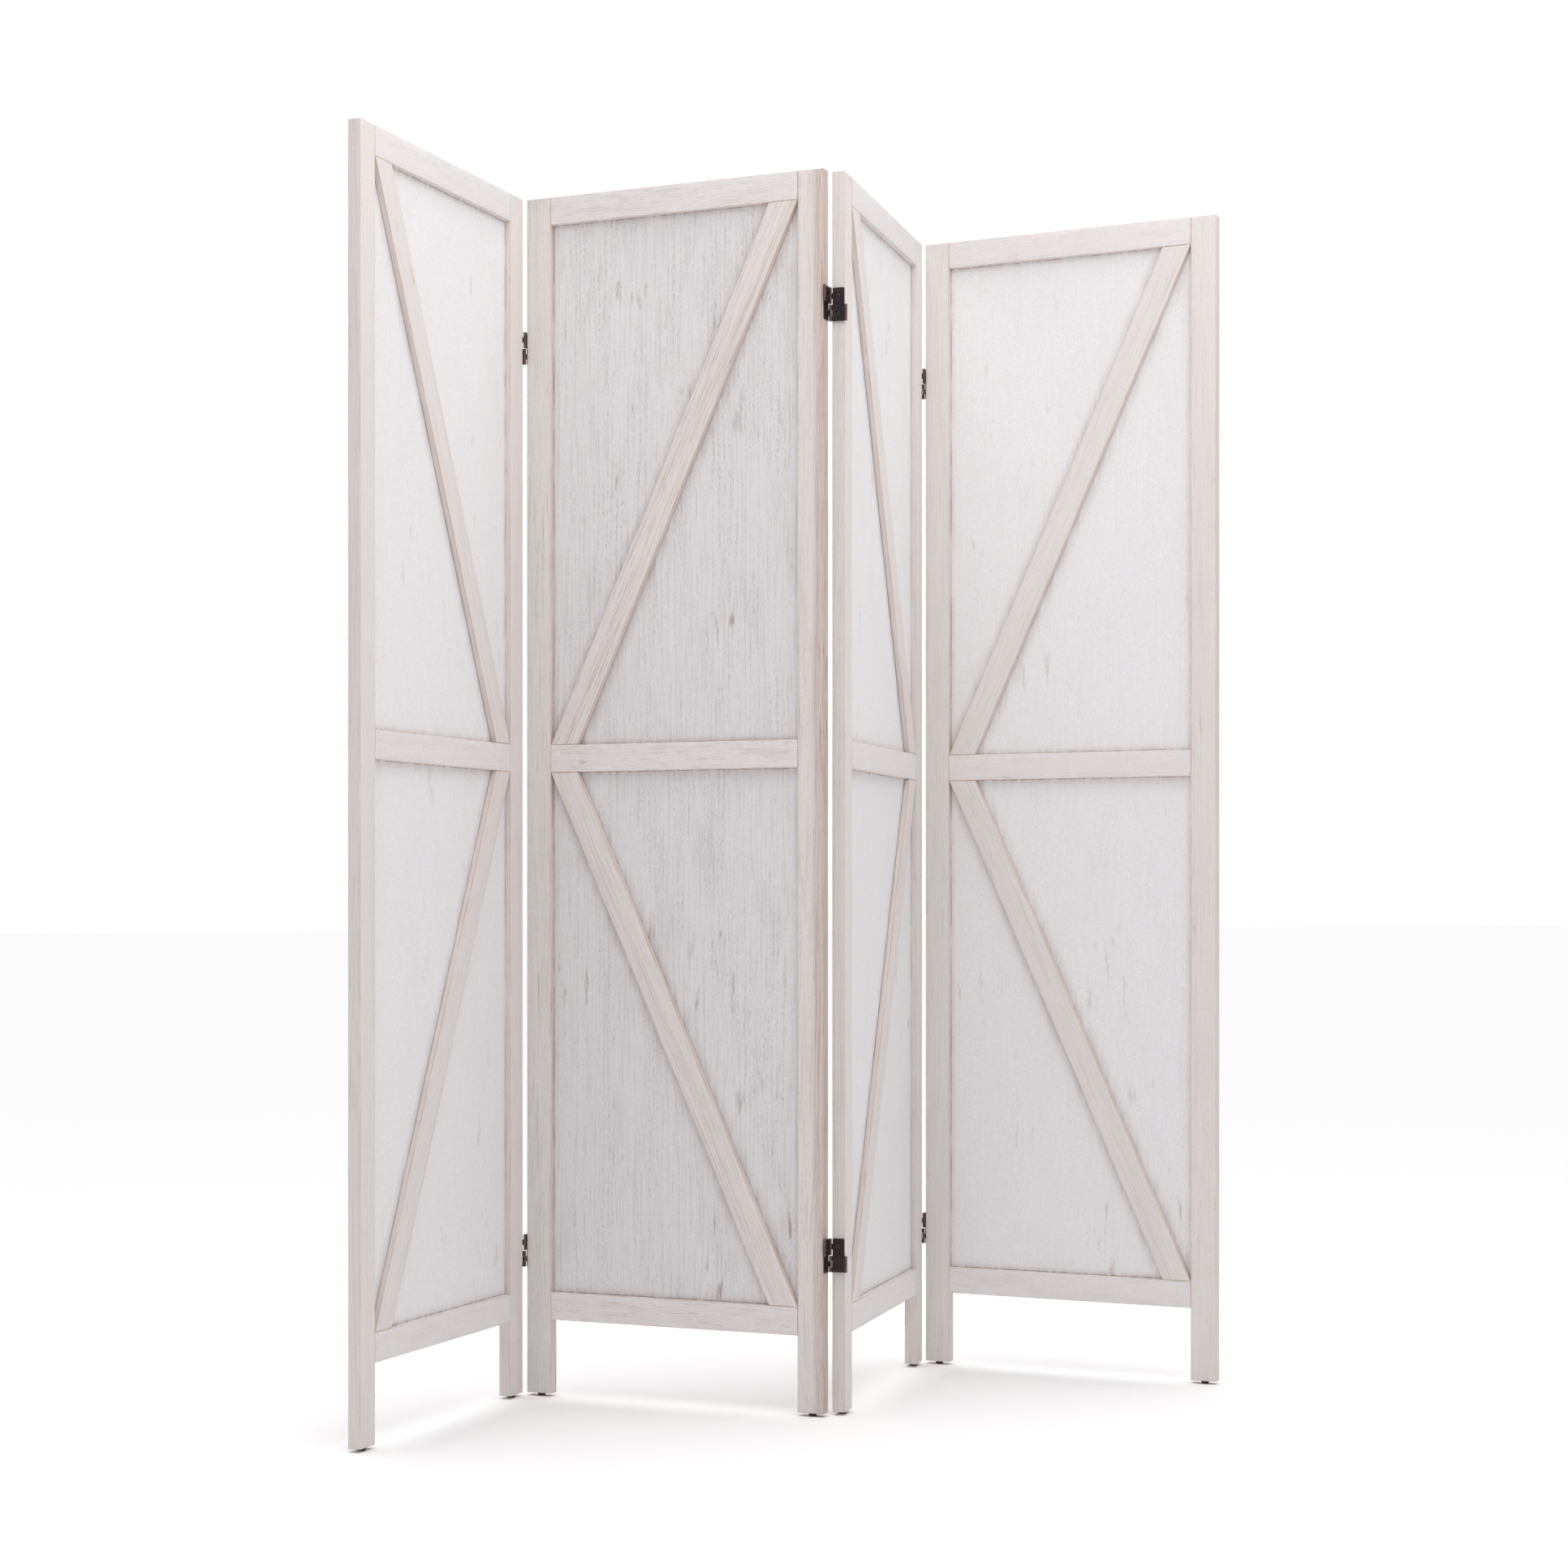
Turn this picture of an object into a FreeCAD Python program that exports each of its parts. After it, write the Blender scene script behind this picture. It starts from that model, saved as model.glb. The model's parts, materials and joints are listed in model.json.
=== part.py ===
import FreeCAD, Part
import math
import os

Vector = FreeCAD.Vector

# A folding room divider screen: four framed panels joined by double-action hinges.
# Frame of the whole screen: X runs along the line of the screen, -Y is the front (the side with
# the diagonal braces), +Z is up, and the origin is on the floor under the centre of the footprint.
# Frame of one panel: x runs from its left edge to its right edge, y from its front face to its
# back face, z is up from the floor. All lengths are millimetres and all angles are degrees.

# Driving dimensions of a panel
screen_height = 1700.0
panel_width = 455.0
panel_thickness = 18.0
stile_width = 38.0
rail_height = 39.0
leg_height = 105.0
brace_width = 39.0
board_thickness = 5.0
board_recess = 8.0
groove_depth = 8.0
tenon_shoulder = 6.0
stile_arris = 0.8

# Glides under the legs
glide_height = 4.5
glide_radius = 5.5
glide_bevel = 0.8
glide_nail_radius = 1.0
glide_nail_length = 12.0

# Double-action hinges
stile_gap = 5.0
barrel_radius = 1.9
barrel_offset = 1.9
half_height = 22.4
half_gap = 1.2
plate_thickness = 1.0
plate_inset = 0.6
plate_corner = 2.0
leaf_knuckle_height = 8.0
knuckle_gap = 0.4
pin_radius = 1.0
pin_running_clearance = 0.05
pin_tight_clearance = 0.01
screw_hole_radius = 1.6
link_window_radius = 4.2
screw_head_radius = 2.5
screw_head_height = 0.7
screw_shank_radius = 1.4
screw_length = 14.0
screw_tip_length = 3.0
screw_slot_width = 0.6
screw_slot_length = 2.8
screw_slot_depth = 0.4
fixing_clearance = 0.05

# The zigzag in which the screen stands: the turn of each panel from the line of the screen
panel_turns = [44.8, -46.5, 50.3, -48.7]

# The side on which each pair of panels folds, and the heights of its two hinges
fold_sides = ["front", "back", "front"]
hinge_heights = [[1489.0, 206.0], [1518.0, 219.0], [1489.0, 206.0]]

# Heights and offsets worked out from the driving dimensions
half_centre = (half_height + half_gap) / 2.0
bottom_rail_z = glide_height + leg_height
top_rail_z = screen_height - rail_height
opening_height = (top_rail_z - bottom_rail_z - 2.0 * rail_height) / 2.0
middle_rail_z = bottom_rail_z + rail_height + opening_height
opening_width = panel_width - 2.0 * stile_width
opening_floors = {"lower": bottom_rail_z + rail_height, "upper": middle_rail_z + rail_height}
barrel_reach = panel_thickness / 2.0 + barrel_offset
groove_y = board_recess
overcut = 1.0


def box(x0, x1, y0, y1, z0, z1):
    return Part.makeBox(x1 - x0, y1 - y0, z1 - z0, Vector(x0, y0, z0))


def upright(radius, height, x, y, z):
    return Part.makeCylinder(radius, height, Vector(x, y, z), Vector(0, 0, 1))


def prism(points, y0, y1):
    # A straight solid with its outline in the x-z plane and its thickness along y.
    corners = [Vector(x, y0, z) for x, z in points]
    outline = Part.makePolygon(corners + corners[:1])
    return Part.Face(outline).extrude(Vector(0, y1 - y0, 0))


def long_edges_at(shape, x):
    # The full-length vertical edges of a solid that lie in the plane at this x.
    chosen = []
    for edge in shape.Edges:
        ends = [vertex.Point for vertex in edge.Vertexes]
        if len(ends) < 2:
            continue
        in_plane = all(abs(end.x - x) < 0.001 for end in ends)
        if in_plane and abs(ends[0].z - ends[1].z) > screen_height / 2.0:
            chosen.append(edge)
    return chosen


# The wooden pieces of one panel

def make_stile(side, screw_heights):
    # A full-height upright: grooved on its inner edge for the boards and the tenons of the rails.
    left = 0.0 if side == "left" else panel_width - stile_width
    right = left + stile_width
    outer = left if side == "left" else right
    stile = box(left, right, 0, panel_thickness, glide_height, screen_height)
    stile = stile.makeChamfer(stile_arris, long_edges_at(stile, outer))
    inner = right - groove_depth if side == "left" else left
    groove_floor = bottom_rail_z + tenon_shoulder
    groove_top = screen_height - tenon_shoulder
    back_of_groove = groove_y + board_thickness
    stile = stile.cut(box(inner, inner + groove_depth, groove_y, back_of_groove, groove_floor, groove_top))
    nail_hole = upright(glide_nail_radius + fixing_clearance, glide_nail_length + fixing_clearance,
                        left + stile_width / 2.0, panel_thickness / 2.0, glide_height)
    stile = stile.cut(nail_hole)
    inward = 1.0 if side == "left" else -1.0
    for z in screw_heights:
        hole = make_shank(fixing_clearance)
        if side == "left":
            hole.rotate(Vector(0, 0, 0), Vector(0, 0, 1), 180)
        hole.translate(Vector(outer - inward * plate_thickness, panel_thickness / 2.0, z))
        stile = stile.cut(hole)
    return stile


def make_rail(floor, tenon_floor, tenon_top, grooves):
    # A cross rail between the stiles, with a stub tenon at each end and grooves for the boards.
    left = stile_width
    right = panel_width - stile_width
    back_of_groove = groove_y + board_thickness
    rail = box(left, right, 0, panel_thickness, floor, floor + rail_height)
    tenon = box(left - groove_depth, right + groove_depth, groove_y, back_of_groove, tenon_floor, tenon_top)
    rail = rail.fuse(tenon).removeSplitter()
    if "under" in grooves:
        rail = rail.cut(box(left, right, groove_y, back_of_groove, floor, floor + groove_depth))
    if "over" in grooves:
        top = floor + rail_height
        rail = rail.cut(box(left, right, groove_y, back_of_groove, top - groove_depth, top))
    return rail


def make_bottom_rail():
    top = bottom_rail_z + rail_height
    return make_rail(bottom_rail_z, bottom_rail_z + tenon_shoulder, top - groove_depth, ["over"])


def make_middle_rail():
    top = middle_rail_z + rail_height
    return make_rail(middle_rail_z, middle_rail_z + groove_depth, top - groove_depth, ["under", "over"])


def make_top_rail():
    return make_rail(top_rail_z, top_rail_z + groove_depth, screen_height - tenon_shoulder, ["under"])


def make_board(level):
    # A thin board that fills one opening and runs into the grooves all round.
    floor = opening_floors[level]
    return box(stile_width - groove_depth, panel_width - stile_width + groove_depth,
               groove_y, groove_y + board_thickness,
               floor - groove_depth, floor + opening_height + groove_depth)


def brace_cut_length():
    # The length of the level cut at a brace's end, for a brace that reaches from corner to corner.
    cut = brace_width
    for _ in range(20):
        run = opening_width - cut
        cut = brace_width * math.hypot(run, opening_height) / opening_height
    return cut


def make_brace(level, top_side):
    # A diagonal laid on the board, cut level along the rails, with its corner in the frame's corner.
    left = stile_width
    right = panel_width - stile_width
    floor = opening_floors[level]
    top = floor + opening_height
    cut = brace_cut_length()
    if top_side == "left":
        points = [(left, top), (left + cut, top), (right, floor), (right - cut, floor)]
    else:
        points = [(right - cut, top), (right, top), (left + cut, floor), (left, floor)]
    return prism(points, 0.0, board_recess)


def make_glides():
    # The two round glides under a panel's legs, each with the nail that holds it in the wood.
    glides = []
    for centre in (stile_width / 2.0, panel_width - stile_width / 2.0):
        middle = panel_thickness / 2.0
        foot = Part.makeCone(glide_radius - glide_bevel, glide_radius, glide_bevel, Vector(centre, middle, 0))
        disc = upright(glide_radius, glide_height - glide_bevel, centre, middle, glide_bevel)
        nail = upright(glide_nail_radius, glide_nail_length + glide_height - overcut, centre, middle, overcut)
        glides.append(foot.fuse([disc, nail]).removeSplitter())
    return glides


# The pieces of one hinge, in the frame of the gap: x = 0 is midway between the two stiles, y = 0 is
# midway through the panels, z = 0 is the hinge's centre.

def make_leaf():
    # The plate on the left stile: its upper barrel is in front and its lower barrel is behind.
    # Turned half round, the same plate goes on the right stile.
    x0 = -stile_gap / 2.0
    x1 = x0 + plate_thickness
    reach = panel_thickness / 2.0 - plate_inset
    half = half_centre + half_height / 2.0
    plate = box(x0, x1, -reach, reach, -half, half)
    corners = [edge for edge in plate.Edges if abs(edge.Vertexes[0].Z - edge.Vertexes[-1].Z) < 0.001
               and abs(edge.Vertexes[0].X - edge.Vertexes[-1].X) > plate_thickness / 2.0]
    leaf = plate.makeFillet(plate_corner, corners)
    for front, z in ((-1.0, half_centre), (1.0, -half_centre)):
        floor = z - leaf_knuckle_height / 2.0
        axis_y = front * barrel_reach
        strap = box(x0, x1, min(axis_y, front * (reach - 1.0)), max(axis_y, front * (reach - 1.0)),
                    floor, floor + leaf_knuckle_height)
        barrel = upright(barrel_radius, leaf_knuckle_height, 0, axis_y, floor)
        leaf = leaf.fuse([strap, barrel])
    for front, z in ((-1.0, half_centre), (1.0, -half_centre)):
        bore = upright(pin_radius + pin_running_clearance, half_height, 0, front * barrel_reach,
                       z - half_height / 2.0)
        screw_hole = Part.makeCylinder(screw_hole_radius, plate_thickness + 2.0 * overcut,
                                       Vector(x0 - overcut, 0, z), Vector(1, 0, 0))
        leaf = leaf.cut(bore).cut(screw_hole)
    return leaf.removeSplitter()


def make_link():
    # The loose plate that joins a front barrel to a back barrel. Its middle is cut away at both
    # ends for the leaves' barrels, and a window clears the heads of the screws.
    half = half_height / 2.0
    x0 = -plate_thickness / 2.0
    link = box(x0, -x0, -barrel_reach, barrel_reach, -half, half)
    for front in (-1.0, 1.0):
        link = link.fuse(upright(barrel_radius, half_height, 0, front * barrel_reach, -half))
    notch_half = leaf_knuckle_height / 2.0 + knuckle_gap
    notch_reach = barrel_reach - barrel_radius - knuckle_gap
    for front in (-1.0, 1.0):
        outer = front * (barrel_reach + barrel_radius + overcut)
        inner = front * notch_reach
        notch = box(-barrel_radius - overcut, barrel_radius + overcut, min(inner, outer), max(inner, outer),
                    -notch_half, notch_half)
        bore = upright(pin_radius + pin_tight_clearance, half_height + 2.0 * overcut, 0,
                       front * barrel_reach, -half - overcut)
        link = link.cut(notch).cut(bore)
    window = Part.makeCylinder(link_window_radius, plate_thickness + 2.0 * overcut,
                               Vector(x0 - overcut, 0, 0), Vector(1, 0, 0))
    return link.cut(window).removeSplitter()


def make_link_pins():
    # The two pins of one link, front and back.
    pins = []
    for front in (-1.0, 1.0):
        pins.append(upright(pin_radius, half_height, 0, front * barrel_reach, -half_height / 2.0))
    return pins


def make_shank(clearance):
    # The part of a screw below its head. It points along -x from the plate's outer face at x = 0.
    radius = screw_shank_radius + clearance
    body_length = screw_length - screw_tip_length
    body = Part.makeCylinder(radius, body_length, Vector(0, 0, 0), Vector(-1, 0, 0))
    tip = Part.makeCone(radius, 0.3, screw_tip_length + clearance, Vector(-body_length, 0, 0), Vector(-1, 0, 0))
    return body.fuse(tip).removeSplitter()


def make_screw():
    # A low domed screw with a cross recess.
    dome_radius = (screw_head_radius ** 2 + screw_head_height ** 2) / (2.0 * screw_head_height)
    dome = Part.makeSphere(dome_radius, Vector(screw_head_height - dome_radius, 0, 0))
    blank = Part.makeCylinder(screw_head_radius, screw_head_height, Vector(0, 0, 0), Vector(1, 0, 0))
    screw = make_shank(0.0).fuse(dome.common(blank))
    depth = screw_head_height - screw_slot_depth
    half_width = screw_slot_width / 2.0
    half_length = screw_slot_length / 2.0
    for half_y, half_z in ((half_width, half_length), (half_length, half_width)):
        screw = screw.cut(box(depth, screw_head_height + overcut, -half_y, half_y, -half_z, half_z))
    return screw.removeSplitter()


def moved(shape, x, y, z, half_turn=False):
    copy = shape.copy()
    if half_turn:
        copy.rotate(Vector(0, 0, 0), Vector(0, 0, 1), 180)
    copy.translate(Vector(x, y, z))
    return copy


def screw_heights(pair):
    # Each leaf has one screw in the middle of each of its halves.
    heights = []
    for centre in hinge_heights[pair]:
        heights.extend([centre + half_centre, centre - half_centre])
    return heights


def link_carrier(pair, level):
    # The panel on which a link lies still while the pair folds on its own side: 0 left, 1 right.
    upper_on_right = fold_sides[pair] == "front"
    if level == "upper":
        return 1 if upper_on_right else 0
    return 0 if upper_on_right else 1


# Where the panels stand

def fold_axis_y(pair):
    if fold_sides[pair] == "front":
        return -barrel_offset
    return panel_thickness + barrel_offset


def panel_places():
    # Chains the panels: each fold axis is shared by the right edge of one and the left edge of the next.
    places = []
    axes = []
    for number, turn in enumerate(panel_turns):
        rotation = FreeCAD.Rotation(Vector(0, 0, 1), turn)
        corner = Vector(0, 0, 0)
        if number > 0:
            left_axis = Vector(-stile_gap / 2.0, fold_axis_y(number - 1), 0)
            corner = axes[-1] - rotation.multVec(left_axis)
        place = FreeCAD.Placement(corner, rotation)
        places.append(place)
        if number < len(fold_sides):
            axes.append(place.multVec(Vector(panel_width + stile_gap / 2.0, fold_axis_y(number), 0)))
    return places, axes


# The nodes: each is a list of separate solids, already in the frame of the whole screen

nodes = {}


def add(name, shapes, place):
    for shape in shapes:
        standing = shape.copy()
        standing.Placement = place.multiply(standing.Placement)
        nodes.setdefault(name, []).append(standing)


def add_panel(number, place):
    name = "panel_%d_" % (number + 1)
    left_screws = screw_heights(number - 1) if number > 0 else []
    right_screws = screw_heights(number) if number < len(fold_sides) else []
    add(name + "left_stile", [make_stile("left", left_screws)], place)
    add(name + "right_stile", [make_stile("right", right_screws)], place)
    add(name + "bottom_rail", [make_bottom_rail()], place)
    add(name + "middle_rail", [make_middle_rail()], place)
    add(name + "top_rail", [make_top_rail()], place)
    # The braces of neighbouring panels point opposite ways.
    upper_top_side = "left" if number % 2 == 0 else "right"
    lower_top_side = "right" if number % 2 == 0 else "left"
    for level, top_side in (("upper", upper_top_side), ("lower", lower_top_side)):
        add(name + level + "_board", [make_board(level)], place)
        add(name + level + "_brace", [make_brace(level, top_side)], place)
    add(name + "glides", make_glides(), place)


def add_hinges(pair, places):
    name = "hinge_%d%d_" % (pair + 1, pair + 2)
    middle = panel_thickness / 2.0
    gap_in_panel = [panel_width + stile_gap / 2.0, -stile_gap / 2.0]
    screw_seat = -stile_gap / 2.0 + plate_thickness
    for centre in hinge_heights[pair]:
        for side, side_name in enumerate(("left", "right")):
            x = gap_in_panel[side]
            turned = side == 1
            panel_name = "panel_%d_" % (pair + side + 1)
            place = places[pair + side]
            add(name + side_name + "_leaves", [moved(make_leaf(), x, middle, centre, turned)], place)
            for z in (half_centre, -half_centre):
                screw = moved(make_screw(), screw_seat, 0, z)
                add(panel_name + "hinge_screws", [moved(screw, x, middle, centre, turned)], place)
        for level, z in (("upper", half_centre), ("lower", -half_centre)):
            side = link_carrier(pair, level)
            x = gap_in_panel[side]
            place = places[pair + side]
            add(name + level + "_links", [moved(make_link(), x, middle, centre + z)], place)
            pins = [moved(pin, x, middle, centre + z) for pin in make_link_pins()]
            add("panel_%d_hinge_pins" % (pair + side + 1), pins, place)


def main():
    places, axes = panel_places()
    for number, place in enumerate(places):
        add_panel(number, place)
    for pair in range(len(fold_sides)):
        add_hinges(pair, places)
    everything = Part.makeCompound([solid for solids in nodes.values() for solid in solids])
    extent = everything.optimalBoundingBox(False, False)
    centring = Vector(-extent.Center.x, -extent.Center.y, -extent.ZMin)
    os.makedirs("parts", exist_ok=True)
    for name, solids in nodes.items():
        for solid in solids:
            solid.translate(centring)
        shape = solids[0] if len(solids) == 1 else Part.makeCompound(solids)
        shape.exportStep("parts/%s.step" % name)
    print("size of the screen: %.1f x %.1f x %.1f mm" % (extent.XLength, extent.YLength, extent.ZLength))
    for pair, axis in enumerate(axes):
        axis = axis + centring
        opening = 180.0 - abs(panel_turns[pair] - panel_turns[pair + 1])
        print("fold %d%d: axis at x %.4f, y %.4f mm, open %.1f degrees at rest"
              % (pair + 1, pair + 2, axis.x, axis.y, opening))


main()
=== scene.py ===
import json
import math
import random

import bmesh
import bpy
from mathutils import Matrix, Vector


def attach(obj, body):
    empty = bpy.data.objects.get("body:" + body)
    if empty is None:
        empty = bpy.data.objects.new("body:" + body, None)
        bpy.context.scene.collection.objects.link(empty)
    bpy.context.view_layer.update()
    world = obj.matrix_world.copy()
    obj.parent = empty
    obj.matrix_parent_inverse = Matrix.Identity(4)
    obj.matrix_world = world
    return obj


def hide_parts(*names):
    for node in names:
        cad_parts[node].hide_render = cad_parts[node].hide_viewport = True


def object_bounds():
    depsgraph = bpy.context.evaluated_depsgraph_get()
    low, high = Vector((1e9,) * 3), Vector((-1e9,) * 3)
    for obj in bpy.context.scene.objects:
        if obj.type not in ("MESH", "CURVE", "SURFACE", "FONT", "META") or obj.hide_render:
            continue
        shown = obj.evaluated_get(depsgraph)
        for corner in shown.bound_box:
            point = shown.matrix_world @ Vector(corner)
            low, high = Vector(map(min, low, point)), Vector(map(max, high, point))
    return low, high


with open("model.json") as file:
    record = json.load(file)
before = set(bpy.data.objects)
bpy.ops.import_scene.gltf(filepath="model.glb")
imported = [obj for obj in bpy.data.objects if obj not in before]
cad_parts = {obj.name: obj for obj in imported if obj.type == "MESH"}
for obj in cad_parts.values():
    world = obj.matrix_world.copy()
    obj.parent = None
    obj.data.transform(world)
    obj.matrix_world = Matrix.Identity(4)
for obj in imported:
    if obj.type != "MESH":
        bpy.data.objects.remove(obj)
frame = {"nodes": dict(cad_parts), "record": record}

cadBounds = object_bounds()
mm = 0.001
weld = 0.001 * mm  # points closer than this are one point
panels = ["panel_1", "panel_2", "panel_3", "panel_4"]


# sRGB hex to the linear values that the shaders want
def linear(hexColour):
    channels = [int(hexColour[i:i + 2], 16) / 255 for i in (1, 3, 5)]
    return [c / 12.92 if c <= 0.04045 else ((c + 0.055) / 1.055) ** 2.4 for c in channels] + [1.0]


# inputs maps a socket's name or number to a value, a socket, or a node (its first output)
def addNode(tree, kind, inputs=None, **settings):
    node = tree.nodes.new(kind)
    for key, value in settings.items():
        setattr(node, key, value)
    for key, value in (inputs or {}).items():
        if isinstance(value, bpy.types.Node):
            value = value.outputs[0]
        if isinstance(value, bpy.types.NodeSocket):
            tree.links.new(value, node.inputs[key])
        else:
            node.inputs[key].default_value = value
    return node


# a geometry tree with named inputs, given as (name, socket type, default)
def newTree(name, sockets):
    tree = bpy.data.node_groups.new(name, "GeometryNodeTree")
    tree.interface.new_socket("Geometry", in_out="INPUT", socket_type="NodeSocketGeometry")
    for label, kind, default in sockets:
        socket = tree.interface.new_socket(label, in_out="INPUT", socket_type="NodeSocket" + kind)
        if default is not None:
            socket.default_value = default
    tree.interface.new_socket("Geometry", in_out="OUTPUT", socket_type="NodeSocketGeometry")
    return tree


# one evaluation of a tree, as a plain mesh
def grow(name, tree, values, startMesh=None):
    carrier = bpy.data.objects.new(name + "_start", startMesh or bpy.data.meshes.new(name + "_start"))
    bpy.context.scene.collection.objects.link(carrier)
    modifier = carrier.modifiers.new("grow", "NODES")
    modifier.node_group = tree
    inputs = [item for item in tree.interface.items_tree if item.in_out == "INPUT"]
    identifiers = {item.name: item.identifier for item in inputs}
    for label, value in values.items():
        modifier[identifiers[label]] = value
    bpy.context.view_layer.update()
    evaluated = carrier.evaluated_get(bpy.context.evaluated_depsgraph_get())
    mesh = bpy.data.meshes.new_from_object(evaluated)
    carrier.modifiers.remove(modifier)
    bpy.data.objects.remove(carrier)
    return mesh


# the piece's object stays at the origin, with its place in its mesh
def finishPiece(name, mesh, body, nodes, sharpAngle=35):
    mesh.name = name
    mesh.shade_smooth()
    mesh.set_sharp_from_angle(angle=math.radians(sharpAngle))
    piece = bpy.data.objects.new(name, mesh)
    bpy.context.scene.collection.objects.link(piece)
    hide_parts(*nodes)
    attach(piece, body)
    return piece


# where a solid stands in the order of its node: by height, then from left to right
def lowestPoint(points):
    return [round(c, 4) for c in min(points, key=lambda p: (p.z, p.x, p.y))]


# the separate solids of a CAD node, lowest first, each as its list of points
def solidsOf(node):
    shape = bmesh.new()
    shape.from_mesh(frame["nodes"][node].data)
    bmesh.ops.remove_doubles(shape, verts=shape.verts, dist=weld)
    waiting = set(shape.verts)
    solids = []
    while waiting:
        front = [waiting.pop()]
        points = []
        while front:
            vertex = front.pop()
            points.append(vertex.co.copy())
            fresh = {edge.other_vert(vertex) for edge in vertex.link_edges} & waiting
            waiting -= fresh
            front.extend(fresh)
        solids.append(points)
    shape.free()
    return sorted(solids, key=lowestPoint)


def extent(points):
    low = Vector([min(p[i] for p in points) for i in range(3)])
    high = Vector([max(p[i] for p in points) for i in range(3)])
    return low, high


# a panel's own place: its left edge, front face and the floor, from the plan of its boards and stiles
def placeOf(panel):
    points = solidsOf(panel + "_upper_board")[0]
    centre = sum(points, Vector()) / len(points)
    xx = sum((p.x - centre.x) ** 2 for p in points)
    yy = sum((p.y - centre.y) ** 2 for p in points)
    xy = sum((p.x - centre.x) * (p.y - centre.y) for p in points)
    turn = Matrix.Rotation(0.5 * math.atan2(2 * xy, xx - yy), 4, "Z")
    stile = solidsOf(panel + "_left_stile")[0]
    low, high = extent([turn.inverted() @ p for p in stile])
    return turn @ Matrix.Translation((low.x, low.y, 0))


places = {panel: placeOf(panel) for panel in panels}


def localPoints(panel, node):
    back = places[panel].inverted()
    return [[back @ p for p in points] for points in solidsOf(node)]


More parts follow.
